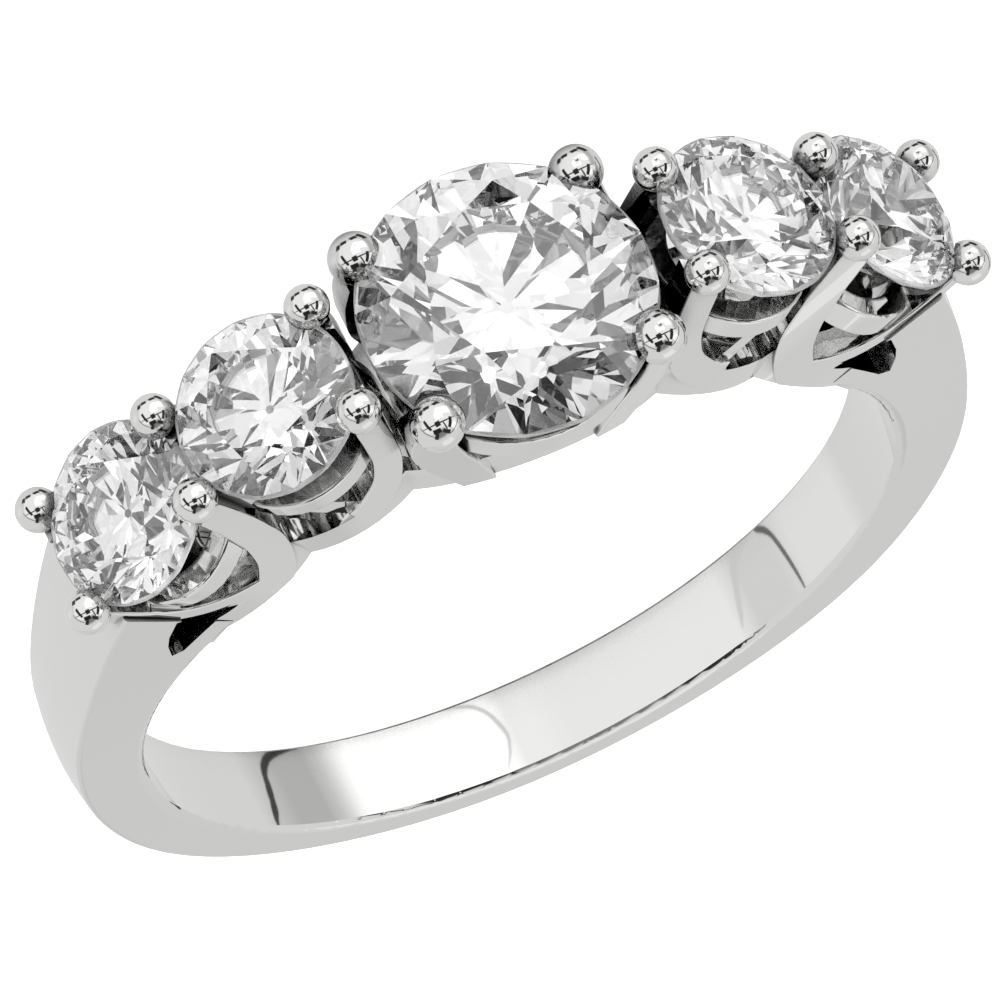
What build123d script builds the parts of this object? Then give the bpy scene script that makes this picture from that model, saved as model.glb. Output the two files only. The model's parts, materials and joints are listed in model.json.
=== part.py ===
"""Ring with five round stones in a row, in a trellis of broad flat arms.

The ring is drawn about its finger hole: X runs along the row of stones, Y along the axis of the
hole, and Z out of the hole through the centre stone. An angle "from the top" is measured about Y
from +Z. At the end it is laid on its side, where it rests on the girdle of the centre stone and
on the edge of the band, with the floor at z = 0. All sizes are millimetres.
"""
import math
import os
from dataclasses import dataclass

from build123d import *

# finger hole and band
FINGER_R = 8.5
BORE_SPARE = 0.04            # metal drawn inside the finger circle, then cut away with it
BACK_THICK = 0.75            # thickness at the back of the finger
SHOULDER_THICK = 3.25        # thickness where the shoulders end under the outer stones
DOME = 0.10                  # how far the outside face swells at the middle
INNER_EDGE = 0.24            # rounding of the two inside edges
OUTER_EDGE = 0.10            # rounding of the two outside edges
BACK_HALF = 1.04             # half width at the back, at the sides of the finger, and as the
SIDE_HALF = 1.195            # shoulders' lines would meet at the top
TOP_HALF = 1.91
# share of the way round from shoulder to back, share of the step from back to shoulder thickness
BAND_TAPER = (
    (0.000, 1.000), (0.039, 0.844), (0.085, 0.680), (0.147, 0.508), (0.217, 0.388),
    (0.302, 0.308), (0.419, 0.244), (0.550, 0.204), (0.690, 0.116), (0.845, 0.024), (1.000, 0.000),
)

# stones: half diameter, rise of the girdle over the finger circle, space between neighbours
CENTRE_R = 3.10
CENTRE_RISE = 3.22
CENTRE_SPACE = 0.31
INNER_R = 1.95
INNER_RISE = 3.92
INNER_BACK_LEAN = 2.4        # the inner stones lean this much less than their place, degrees
OUTER_R = 1.90
OUTER_RISE = 3.79
SIDE_SPACE = 0.03
STONE_GAP = 0.03             # space between a stone and the metal around it

# proportions of the cut, as shares of the stone's half diameter
TABLE = 0.57
CROWN_ANGLE = 34.5
PAVILION_ANGLE = 40.75
GIRDLE = 0.055
STAR_REACH = 0.5
LOWER_REACH = 0.22
CULET = 0.045
FACET_TURN = 5.625           # turn of the facets against the row, degrees

# claws: turn from the row about the stone's axis, distance outside the stone's edge and height
# over its girdle; the shared claw is given from the outer stone
CENTRE_CLAW = (39.8, 0.09, 0.10)
INNER_CLAW = (36.5, 0.20, 0.30)
SHARED_CLAW = (28.8, 0.256, 0.39)
OUTER_CLAW = (36.1, 0.237, 0.155)
CENTRE_BALL = 0.575          # radius of the balls
SIDE_BALL = 0.48
BALL_DROP = 0.25             # the arms end this far below the balls' middles

# rail along the finger circle under the stones
RAIL_THICK = 0.84
RAIL_RUN = 13.5              # it runs this far into the shoulders, past the outer stones, degrees
SHOULDER_RUN = 7.5           # the shoulders end this far past the outer stones
CENTRE_LOBE = (1.258, 0.674)  # half length and half width under the centre stone, of CENTRE_R
LOBE_CUT = 0.968             # the lobe is used as far as this share of CENTRE_R
SIDE_LOBE = 1.641            # bow of the rail under a side stone, as a share of its half diameter

# plates of the arms
PLATE = 0.62
BACK_PLATE = 0.52            # the arm that passes behind is thinner
PROUD = 0.02                 # the centre plates stand proud of the rail
EASE = 0.05                  # rounding where a plate's face meets its sides
CENTRE_FLARE = 8.5           # lean of the centre plates towards their claws, degrees
CENTRE_BOW = 2.58            # bow of the centre plates, as a share of CENTRE_R
SIDE_BOW = 2.82              # bow of the side plates, as a share of the stone's half diameter
SIDE_FACE = 0.89             # how far these stand from the middle at their widest, as such a share
BACK_START = 0.83            # and how far out the arm behind starts
BACK_INSET = 0.12            # it ends this much inside the shared claw's middle

# hoops under the stones: half diameter outside and inside, depth of top and bottom under the
# girdle, as shares of the stone's half diameter
CENTRE_HOOP = (0.900, 0.694, 0.290, 0.505)
INNER_HOOP = (0.935, 0.650, 0.590, 0.900)
OUTER_HOOP = (0.935, 0.650, 0.650, 0.990)
HOOP_EDGE = 0.08

# holes in the rail, and the room in the shoulder under an outer stone, as such shares
CENTRE_HOLE = (0.435, 0.306)
SIDE_HOLE = 0.31
SHOULDER_ROOM = 0.816
ROOM_DEPTH = 0.686           # depth of that room as a share of OUTER_RISE

# outlines of the arms from the claw down: distance across from the stone's axis and width, as
# shares of its half diameter, with the height over the girdle between them, as a share of its
# rise. The first row is the width at the claw alone.
CENTRE_ARM = (0.230, (0.819, -0.193, 0.290), (0.774, -0.440, 0.330), (0.670, -0.650, 0.330),
              (0.550, -0.870, 0.270), (0.450, -1.090, 0.220))
STEEP_ARM = (0.308, (-0.837, -0.112, 0.318), (-0.759, -0.387, 0.328), (-0.626, -0.594, 0.359),
             (-0.372, -0.762, 0.441), (-0.002, -0.836, 0.462))
BACK_ARM = (0.236, (0.834, -0.184, 0.215), (0.541, -0.395, 0.205), (0.220, -0.607, 0.215),
            (-0.113, -0.771, 0.256))
BROAD_ARM = (0.295, (-0.924, -0.125, 0.316), (-0.795, -0.427, 0.358), (-0.625, -0.667, 0.421),
             (-0.391, -0.828, 0.453), (-0.084, -0.937, 0.474), (0.269, -0.945, 0.500),
             (0.600, -0.935, 0.520), (0.950, -0.960, 0.520))
OUTER_ARM = (0.290, (0.863, -0.205, 0.310), (0.732, -0.422, 0.300), (0.503, -0.606, 0.265),
             (0.145, -0.751, 0.240), (-0.210, -0.851, 0.263))

# corners of the opening in the shoulder, in the same shares of the outer stone
SHOULDER_HOLE = ((0.261, -0.828), (0.590, -0.650), (0.736, -0.570), (1.024, -0.664),
                 (1.190, -0.748), (1.350, -0.869), (1.225, -0.904), (0.880, -0.868),
                 (0.555, -0.838))

THROUGH = 2 * CENTRE_R       # half length of a cutter that passes right through the ring


@dataclass(frozen=True)
class Seat:
    """Place of a stone: half diameter, rise over the finger circle, angle from the top, lean."""

    radius: float
    rise: float
    angle: float
    lean: float

    def point(self, across, up, y=0.0):
        """Point a distance across from the stone's axis and a height over its girdle."""
        a, n = math.radians(self.angle), math.radians(self.lean)
        far = FINGER_R + self.rise
        return Vector(far * math.sin(a) + across * math.cos(n) + up * math.sin(n), y,
                      far * math.cos(a) - across * math.sin(n) + up * math.cos(n))

    def share(self, across, up):
        """The same from shares: across of the half diameter, up of the rise."""
        return self.point(across * self.radius, up * self.rise)

    def plane(self, up=0.0, y=0.0):
        """Plane square to the stone's axis at a height over its girdle."""
        n = math.radians(self.lean)
        return Plane(origin=self.point(0, up, y), x_dir=Vector(math.cos(n), 0, -math.sin(n)),
                     z_dir=Vector(math.sin(n), 0, math.cos(n)))

    def rod(self, radius, low, high, y=0.0):
        """Cylinder about the stone's axis, from one height over the girdle to another."""
        return Solid.make_cylinder(radius, high - low, self.plane(low, y))

    def claw(self, turn, out, up, side=1):
        """Middle of a claw's ball at the front, on the outer (1) or inner (-1) side."""
        a = math.radians(turn)
        away = self.radius + out
        return self.point(side * away * math.cos(a), up, -away * math.sin(a))


def angle_between(near, far, apart):
    """Angle at the axis between points at two distances from it, a length apart."""
    return math.degrees(math.acos((near**2 + far**2 - apart**2) / (2 * near * far)))


INNER_ANGLE = angle_between(FINGER_R + CENTRE_RISE, FINGER_R + INNER_RISE,
                            CENTRE_R + INNER_R + CENTRE_SPACE)
OUTER_ANGLE = INNER_ANGLE + angle_between(FINGER_R + INNER_RISE, FINGER_R + OUTER_RISE,
                                          INNER_R + OUTER_R + SIDE_SPACE)
CENTRE = Seat(CENTRE_R, CENTRE_RISE, 0.0, 0.0)
INNER = Seat(INNER_R, INNER_RISE, INNER_ANGLE, INNER_ANGLE - INNER_BACK_LEAN)
OUTER = Seat(OUTER_R, OUTER_RISE, OUTER_ANGLE, OUTER_ANGLE)
SHOULDER_TOP = OUTER_ANGLE + SHOULDER_RUN
RAIL_END = OUTER_ANGLE + RAIL_RUN


def half_width(angle):
    """Half width of the band at an angle from the top, in degrees."""
    s = (1 + math.cos(math.radians(angle))) / 2
    curve = 2 * (TOP_HALF + BACK_HALF - 2 * SIDE_HALF)
    return BACK_HALF + (TOP_HALF - BACK_HALF - curve) * s + curve * s * s


def edge_radius(angle):
    """Radius of the band's outside edge: a smooth curve through the listed thicknesses."""
    away = abs((angle + 180) % 360 - 180)
    way = (away - SHOULDER_TOP) / (180 - SHOULDER_TOP)
    rows = [(-BAND_TAPER[1][0], 2 * BAND_TAPER[0][1] - BAND_TAPER[1][1]), *BAND_TAPER,
            (2 - BAND_TAPER[-2][0], BAND_TAPER[-2][1])]
    i = next(k for k in range(1, len(rows) - 2) if way <= rows[k + 1][0] + 1e-9)
    (w0, s0), (w1, s1) = rows[i], rows[i + 1]
    m0 = (s1 - rows[i - 1][1]) / (w1 - rows[i - 1][0])
    m1 = (rows[i + 2][1] - s0) / (rows[i + 2][0] - w0)
    h = w1 - w0
    t = (way - w0) / h
    share = ((2 * t**3 - 3 * t**2 + 1) * s0 + (t**3 - 2 * t**2 + t) * h * m0
             + (3 * t**2 - 2 * t**3) * s1 + (t**3 - t**2) * h * m1)
    return FINGER_R + BACK_THICK + (SHOULDER_THICK - BACK_THICK) * share


def about(angle, radius, y):
    """Point at an angle from the top, a distance from the axis and a place along the axis."""
    a = math.radians(angle)
    return Vector(radius * math.sin(a), y, radius * math.cos(a))


def band_section(angle):
    """Closed outline of the band at an angle: flat inside, flat sides, softly domed outside."""
    w = half_width(angle)
    top = edge_radius(angle)
    e, o = INNER_EDGE, OUTER_EDGE
    k = math.sqrt(0.5)
    inside = FINGER_R - BORE_SPARE
    half = [
        (inside, w - e), (inside + e * (1 - k), w - e * (1 - k)), (inside + e, w),
        (top - o, w), (top - o * (1 - k), w - o * (1 - k)), (top, w - o),
    ]
    right = [about(angle, r, y) for r, y in half]
    left = [about(angle, r, -y) for r, y in half]
    crest = about(angle, top + DOME, 0)
    return Wire([
        Edge.make_line(left[0], right[0]),
        Edge.make_three_point_arc(right[0], right[1], right[2]),
        Edge.make_line(right[2], right[3]),
        Edge.make_three_point_arc(right[3], right[4], right[5]),
        Edge.make_three_point_arc(right[5], crest, left[5]),
        Edge.make_three_point_arc(left[5], left[4], left[3]),
        Edge.make_line(left[3], left[2]),
        Edge.make_three_point_arc(left[2], left[1], left[0]),
    ])


def band():
    """The band from shoulder to shoulder, round the back of the finger."""
    half = [SHOULDER_TOP + way * (180 - SHOULDER_TOP) for way, _ in BAND_TAPER[:-1]]
    angles = half + [180.0] + [360.0 - a for a in reversed(half)]
    return Solid.make_loft([band_section(a) for a in angles])


def cylinder(radius):
    """Cylinder about the finger hole's axis, longer than the ring is wide."""
    return Solid.make_cylinder(radius, 2 * THROUGH,
                               Plane(origin=(0, -THROUGH, 0), z_dir=(0, 1, 0)))


def slab(corners):
    """Block with an outline in the X-Z plane, longer than the ring is wide."""
    outline = Wire.make_polygon([Vector(p.X, -THROUGH, p.Z) for p in corners])
    return extrude(Face(outline), amount=2 * THROUGH, dir=(0, 1, 0)).solid()


def arm_points(seat, table, claw):
    """Points and widths along an arm, from under its claw's ball down."""
    first, *rest = table
    rows = [(seat.share(across, up), w * seat.radius) for across, up, w in rest]
    top = Vector(claw.X, 0, claw.Z)
    top += (rows[0][0] - top).normalized() * BALL_DROP
    return [(top, first * seat.radius)] + rows


def ribbon(rows, y_from, y_to):
    """Arm seen from the front: a smooth stroke of changing width, as thick as y_from to y_to."""
    count = 4 * (len(rows) - 1)
    points = [p for p, _ in rows]
    widths = [w for _, w in rows]
    path = Edge.make_spline(points)
    lengths = [0.0]
    for p, q in zip(points, points[1:]):
        lengths.append(lengths[-1] + (q - p).length)
    one, other = [], []
    for i in range(count + 1):
        t = i / count
        s = t * lengths[-1]
        j = min(len(points) - 2, max(k for k in range(len(lengths)) if lengths[k] <= s + 1e-9))
        f = (s - lengths[j]) / (lengths[j + 1] - lengths[j])
        f = f * f * (3 - 2 * f)
        width = widths[j] * (1 - f) + widths[j + 1] * f
        here = path.position_at(t)
        run = path.tangent_at(t)
        side = Vector(-run.Z, 0, run.X) * (width / 2)
        one.append(here + side)
        other.append(here - side)
    outline = Wire([
        Edge.make_spline(one), Edge.make_line(one[-1], other[-1]),
        Edge.make_spline(list(reversed(other))), Edge.make_line(other[0], one[0]),
    ])
    face = Face(outline).moved(Location((0, y_from, 0)))
    return extrude(face, amount=y_to - y_from, dir=(0, 1, 0)).solid()


def one_solid(shape):
    """The single solid in the result of a cut or a fuse."""
    solids = shape.solids()
    assert len(solids) == 1, f"expected one solid, got {len(solids)}"
    return solids[0]


def eased(arm, shortest=0.0):
    """An arm with the edges of its front face rounded, but for edges under a length."""
    face = min(arm.faces(), key=lambda f: f.center().Y)
    return arm.fillet(EASE, [e for e in face.edges() if e.length > shortest])


def bowed_shell(seat):
    """Front shell of a side stone's setting: a bowed plate of even thickness."""
    bow = SIDE_BOW * seat.radius
    back = bow - SIDE_FACE * seat.radius
    low, high = -2 * seat.rise, seat.rise
    return seat.rod(bow, low, high, back).cut(seat.rod(bow - PLATE, low, high, back)).solid()


def centre_shell():
    """Front plate of the centre setting: bowed, and leaning out towards the claws."""
    f = math.radians(CENTRE_FLARE)
    bow = CENTRE_BOW * CENTRE_R
    up = Vector(0, -math.sin(f), math.cos(f))
    foot = Vector(0, bow - CENTRE_LOBE[1] * CENTRE_R - PROUD, FINGER_R)
    plane = Plane(origin=foot - up * CENTRE_RISE, x_dir=(1, 0, 0), z_dir=up)
    height = 3 * CENTRE_RISE
    return Solid.make_cylinder(bow, height, plane).cut(
        Solid.make_cylinder(bow - PLATE, height, plane)).solid()


def back_slab(shared):
    """Slab that holds the arm passing behind the broad arm: it draws in towards the shared claw."""
    foot = INNER.share(*BACK_ARM[-1][:2])
    start = Vector(foot.X, -BACK_START * INNER_R, 0)
    end = Vector(shared.X, shared.Y + BACK_INSET, 0)
    run = (end - start).normalized()
    into = Vector(-run.Y, run.X, 0) * BACK_PLATE
    spare = run * INNER_R
    corners = [start - spare, end + spare, end + spare + into, start - spare + into]
    return extrude(Face(Wire.make_polygon(corners)), amount=2 * (FINGER_R + INNER_RISE),
                   dir=(0, 0, 1)).solid()


def claws():
    """Middles of the claws' balls in the right front quarter, by name."""
    return {
        "centre": CENTRE.claw(*CENTRE_CLAW),
        "inner": INNER.claw(*INNER_CLAW, side=-1),
        "shared": OUTER.claw(*SHARED_CLAW, side=-1),
        "outer": OUTER.claw(*OUTER_CLAW),
    }


def centre_arm(claw):
    """The centre stone's right front arm, from its claw down past the finger circle."""
    body = ribbon(arm_points(CENTRE, CENTRE_ARM, claw), -1.03 * CENTRE_R, -0.19 * CENTRE_R)
    return eased(body.intersect(centre_shell()).solid())


def shoulder_hole():
    """Cutter for the opening in the right shoulder."""
    return slab([OUTER.share(*corner) for corner in SHOULDER_HOLE])


def side_arms(places):
    """Right front quarter: both Vs of the side stones."""
    outer_shell, inner_shell = bowed_shell(OUTER), bowed_shell(INNER)
    behind = back_slab(places["shared"])
    plan = (
        (OUTER, BROAD_ARM, "shared", outer_shell, -0.26),
        (OUTER, OUTER_ARM, "outer", outer_shell, -0.26),
        (INNER, STEEP_ARM, "inner", inner_shell, -0.26),
        (INNER, BACK_ARM, "shared", behind, 0.26),
    )
    arms = []
    for seat, table, claw, shell, inward in plan:
        body = ribbon(arm_points(seat, table, places[claw]), -1.24 * seat.radius,
                      inward * seat.radius)
        arm = eased(body.intersect(shell).solid())
        if table is BROAD_ARM:
            arm = one_solid(arm.cut(shoulder_hole()))
        arms.append(arm)
    return arms


def hoop(seat, sizes):
    """Hoop round the lower half of a stone."""
    outside, inside, top, bottom = (s * seat.radius for s in sizes)
    ring = seat.rod(outside, -bottom, -top)
    ring = ring.cut(seat.rod(inside, -bottom - seat.radius, seat.radius)).solid()
    return ring.fillet(HOOP_EDGE, ring.edges())


def rail():
    """Lobed rail under the stones, with a hole under each stone."""
    inside = FINGER_R - 2 * BORE_SPARE
    a = math.radians(RAIL_END)
    far = 4 * FINGER_R
    wedge = slab([Vector(0, 0, 0), Vector(far * math.sin(a), 0, far * math.cos(a)),
                  Vector(0, 0, 2 * far), Vector(-far * math.sin(a), 0, far * math.cos(a))])
    ring = cylinder(FINGER_R + RAIL_THICK).cut(cylinder(inside)).intersect(wedge).solid()

    high = 2 * FINGER_R
    oval = extrude(Face(Wire.make_ellipse(*(s * CENTRE_R for s in CENTRE_LOBE))),
                   amount=high, dir=(0, 0, 1)).solid()
    cut = LOBE_CUT * CENTRE_R
    middle = oval.intersect(Solid.make_box(2 * cut, 2 * THROUGH, high,
                                           Plane(origin=(-cut, -THROUGH, 0)))).solid()
    lobes = []
    for seat in (INNER, OUTER):
        bow = SIDE_LOBE * seat.radius
        back = bow - SIDE_FACE * seat.radius
        reach = (-2 * seat.rise, seat.rise)
        lens = seat.rod(bow, *reach, back).intersect(seat.rod(bow, *reach, -back)).solid()
        lobes += [lens, lens.mirror(Plane.YZ)]
    # blocks that carry the rail into the shoulders
    end = half_width(RAIL_END) - PROUD
    foot = about(RAIL_END, FINGER_R, 0)
    block = Solid.make_box(2 * OUTER_R, 2 * end, 3 * OUTER_R,
                           Plane(origin=(foot.X - 0.8 * OUTER_R, -end, foot.Z - 0.65 * OUTER_R)))
    lobes += [block, block.mirror(Plane.YZ)]
    body = ring.intersect(middle.fuse(*lobes)).solid()

    holes = [extrude(Face(Wire.make_ellipse(*(s * CENTRE_R for s in CENTRE_HOLE))),
                     amount=high, dir=(0, 0, 1)).solid()]
    for seat in (INNER, OUTER):
        drill = seat.rod(SIDE_HOLE * seat.radius, -1.4 * seat.rise, 0)
        holes += [drill, drill.mirror(Plane.YZ)]
    return one_solid(body.cut(*holes))


def profile(radius):
    """Heights and reaches of the cut for a half diameter: girdle, table, star tip, lower facets."""
    tan_c = math.tan(math.radians(CROWN_ANGLE))
    tan_p = math.tan(math.radians(PAVILION_ANGLE))
    half_step = math.cos(math.radians(22.5))
    g = GIRDLE * radius / 2
    edge_mid = TABLE * half_step
    tip = edge_mid + (1 - edge_mid) * STAR_REACH
    return {
        "girdle": g,
        "table_z": g + (1 - TABLE) * radius * tan_c,
        "tip": tip,
        "tip_z": g + (1 - tip * half_step) * radius * tan_c,
        "low_z": -g - (1 - LOWER_REACH * half_step) * radius * tan_p,
        "culet_z": -g - (1 - CULET) * radius * tan_p,
    }


def room(seat):
    """Room for a stone: its outline turned about its axis, a little larger than the stone."""
    r = seat.radius + STONE_GAP
    cut = profile(r)
    outline = Wire.make_polygon([Vector(x, 0, z) for x, z in (
        (0, cut["table_z"] + r / 6), (TABLE * r, cut["table_z"] + r / 6),
        (cut["tip"] * r, cut["tip_z"]), (r, cut["girdle"]), (r, -cut["girdle"]),
        (LOWER_REACH * r, cut["low_z"]), (0, cut["low_z"] - LOWER_REACH * r))])
    return revolve(Face(outline), axis=Axis.Z).solid().moved(seat.plane().location)


def cut_stone(seat):
    """Round brilliant in its place in the row.

    The facets are planes that trim a short cylinder: a table, 8 stars, 8 kites and 16 upper
    facets above the girdle, and 16 lower facets, 8 mains and a small culet below it.
    """
    r = seat.radius
    cut = profile(r)
    g, tip, low = cut["girdle"], cut["tip"], LOWER_REACH
    slopes = ((g, math.tan(math.radians(CROWN_ANGLE)), 1),
              (-g, math.tan(math.radians(PAVILION_ANGLE)), -1))

    def ray(distance, turn, z):
        a = math.radians(turn)
        return Vector(distance * r * math.cos(a), distance * r * math.sin(a), z)

    planes = [(Vector(0, 0, cut["table_z"]), Vector(0, 0, 1)),
              (Vector(0, 0, cut["culet_z"]), Vector(0, 0, -1))]
    for k in range(8):
        az = 45.0 * k
        star = ray(tip, az + 22.5, cut["tip_z"])
        a, b = ray(TABLE, az, cut["table_z"]), ray(TABLE, az + 45, cut["table_z"])
        planes.append((a, (b - a).cross(star - a)))
        for z, steep, way in slopes:
            out = ray(steep / r, az, way)
            planes.append((ray(1, az, z), out))
        foot = ray(low, az + 22.5, cut["low_z"])
        for near in (az, az + 45):
            for z, meet in ((g, star), (-g, foot)):
                a, b = ray(1, near, z), ray(1, az + 22.5, z)
                planes.append((a, (b - a).cross(meet - a)))
    body = Solid.make_cylinder(r, 4 * r, Plane(origin=(0, 0, -2 * r)))
    for point, normal in planes:
        n = normal.normalized()
        if n.dot(point) < 0:
            n = n * -1
        body = body.split(Plane(origin=point, z_dir=n), keep=Keep.BOTTOM).solid()
    return body.moved(Location((0, 0, 0), (0, 0, FACET_TURN))).moved(seat.plane().location)


def every_side(solids):
    """Solids of the right front quarter and their copies in the other three."""
    right = solids + [s.mirror(Plane.XZ) for s in solids]
    return right + [s.mirror(Plane.YZ) for s in right]


def mount():
    """All of the metal, as one solid."""
    shank = band()
    socket = OUTER.rod(SHOULDER_ROOM * OUTER_R, -ROOM_DEPTH * OUTER_RISE, OUTER_R)
    for cutter in (socket, socket.mirror(Plane.YZ)):
        shank = one_solid(shank.cut(cutter))
    shank = one_solid(shank.fuse(rail()))
    opening = shoulder_hole()
    for cutter in (opening, opening.mirror(Plane.YZ)):
        shank = one_solid(shank.cut(cutter))

    hoops = [hoop(CENTRE, CENTRE_HOOP)]
    for seat, sizes in ((INNER, INNER_HOOP), (OUTER, OUTER_HOOP)):
        side = hoop(seat, sizes)
        hoops += [side, side.mirror(Plane.YZ)]
    places = claws()
    balls = [Solid.make_sphere(CENTRE_BALL if name == "centre" else SIDE_BALL, Plane(origin=at))
             for name, at in places.items()]
    arms = [centre_arm(places["centre"])] + side_arms(places)
    head = hoops + every_side(arms + balls)
    metal = one_solid(shank.fuse(*head))
    rooms = [room(CENTRE)]
    for seat in (INNER, OUTER):
        side = room(seat)
        rooms += [side, side.mirror(Plane.YZ)]
    for cutter in [cylinder(FINGER_R)] + rooms:
        metal = one_solid(metal.cut(cutter))
    return metal


def build():
    """Every node by name, in the drawing frame."""
    nodes = {"ring_mount": mount(), "centre_stone": cut_stone(CENTRE)}
    for name, seat in (("inner_stone", INNER), ("outer_stone", OUTER)):
        stone = cut_stone(seat)
        nodes["right_" + name] = stone
        nodes["left_" + name] = stone.mirror(Plane.YZ)
    return nodes


def lay_down(nodes):
    """Lay the ring on its side on the floor, middle over the origin."""
    # the floor runs through the stone's lower girdle edge and touches the band's rounded edge
    girdle_y, girdle_z = CENTRE_R, FINGER_R + CENTRE_RISE - GIRDLE * CENTRE_R / 2
    edge_y, edge_z = half_width(180.0) - OUTER_EDGE, OUTER_EDGE - edge_radius(180.0)
    apart = math.hypot(girdle_y - edge_y, girdle_z - edge_z)
    tilt = math.degrees(math.atan2(girdle_y - edge_y, girdle_z - edge_z)
                        - math.asin(OUTER_EDGE / apart))
    # the back of the ring goes down, the stones face -Y, the row runs along -X
    side = Plane(origin=(0, 0, 0), x_dir=(-1, 0, 0), z_dir=(0, -1, 0)).location
    lean = Location((0, 0, 0), (-tilt, 0, 0))
    laid = {name: shape.moved(side).moved(lean) for name, shape in nodes.items()}
    box = Compound(children=[s.moved(Location()) for s in laid.values()]).bounding_box()
    move = Location((-(box.min.X + box.max.X) / 2, -(box.min.Y + box.max.Y) / 2, -box.min.Z))
    return {name: shape.moved(move) for name, shape in laid.items()}, tilt, move


def main():
    nodes, tilt, move = lay_down(build())
    os.makedirs("parts", exist_ok=True)
    for name, shape in nodes.items():
        box = shape.bounding_box()
        print(f"{name}: {shape.volume:.3f} mm3, {len(shape.faces())} faces, "
              f"valid {shape.is_valid}, {box.size.X:.2f} x {box.size.Y:.2f} x {box.size.Z:.2f}")
        export_step(shape, f"parts/{name}.step")
    print(f"laid down with a tilt of {tilt:.4f} degrees, the middle of the finger hole at "
          f"{tuple(round(v, 4) for v in move.position)}")


main()
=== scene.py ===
"""Five stone ring lying on its side on a pale floor, in soft studio light.

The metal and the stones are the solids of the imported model. This script works out their
finishes, the floor, the lights and the camera. Lengths in the classes are millimetres unless a
field says otherwise, and are turned into metres where a mesh, a light or a socket takes them.
"""
from __future__ import annotations

import json
import logging
import math
from dataclasses import dataclass, field

import bpy
import numpy as np
from mathutils import Matrix, Vector


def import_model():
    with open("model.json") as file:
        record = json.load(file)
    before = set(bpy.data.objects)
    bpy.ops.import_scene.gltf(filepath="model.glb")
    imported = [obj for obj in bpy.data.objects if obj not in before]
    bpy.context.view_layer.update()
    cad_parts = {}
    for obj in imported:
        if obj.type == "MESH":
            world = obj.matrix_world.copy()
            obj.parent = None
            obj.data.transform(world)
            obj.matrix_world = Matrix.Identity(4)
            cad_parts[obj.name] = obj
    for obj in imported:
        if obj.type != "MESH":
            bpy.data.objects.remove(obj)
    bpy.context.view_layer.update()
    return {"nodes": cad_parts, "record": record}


log = logging.getLogger("five_stone_ring")

MM = 0.001
PER_MM = 1000.0
WHITE = (1.0, 1.0, 1.0, 1.0)
METAL_NODE = "ring_mount"
# each stone's node, and the depths of its hoop's top and bottom as shares of its half diameter
STONE_NODES = {
    "centre_stone": (0.290, 0.505),
    "left_inner_stone": (0.590, 0.900),
    "left_outer_stone": (0.650, 0.990),
    "right_inner_stone": (0.590, 0.900),
    "right_outer_stone": (0.650, 0.990),
}


@dataclass(frozen=True)
class RingAxes:
    """How the ring lies: the row of stones, the finger hole's line and the way out of the hole.

    The centre and the radius are the finger hole's, in metres.
    """

    centre: Vector
    radius: float
    row: Vector
    hole: Vector
    out: Vector

    @classmethod
    def from_record(cls, record: dict) -> RingAxes:
        """Read the finger hole's place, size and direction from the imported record.

        Args:
            record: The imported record.

        Returns:
            The axes.
        """
        mount = next(m for m in record["mounts"] if m["name"] == "finger_bore")
        up = Vector(mount["axis"]).normalized()
        row = Vector((-1.0, 0.0, 0.0))
        hole = -up
        radius = mount["dims"]["r_mm"] * MM
        return cls(Vector(mount["pos_m"]), radius, row, hole, row.cross(hole))

    def direction(self, along_row: float, along_hole: float, outward: float) -> Vector:
        """Direction in the floor's frame of one given along the ring's own axes."""
        return self.row * along_row + self.hole * along_hole + self.out * outward


# node helpers


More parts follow.
